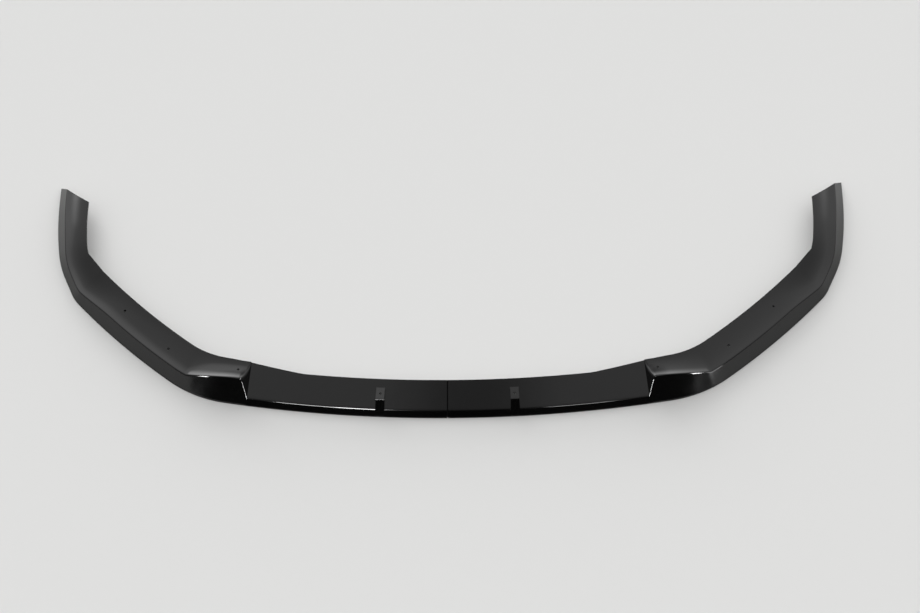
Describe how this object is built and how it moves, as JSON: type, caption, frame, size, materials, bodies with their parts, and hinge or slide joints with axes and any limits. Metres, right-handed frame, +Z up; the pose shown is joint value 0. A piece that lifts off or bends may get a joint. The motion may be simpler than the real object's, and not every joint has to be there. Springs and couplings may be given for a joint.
{
  "type": "front splitter lip",
  "caption": "Gloss black front splitter lip with a low sloped shelf in the middle, raised coved wings and swept-back legs, screwed under a car's front bumper.",
  "frame": {"origin": "middle of the lip's box in X and Y, on the plane of its bottom edge; the seam lies in the plane X = 0", "axes": "+X across the car to the right as seen from ahead of it, -Y towards the front, +Z up"},
  "size_m": [1.758, 0.588, 0.0545],
  "materials": {
    "gloss_black_abs": "moulded ABS with a gloss black face",
    "zinc_steel": "zinc plated steel"
  },
  "bodies": {
    "root": {"left_half": "gloss_black_abs", "right_half": "gloss_black_abs", "seam_bolts": "zinc_steel", "seam_washers": "zinc_steel", "seam_nuts": "zinc_steel"}
  },
  "joints": []
}
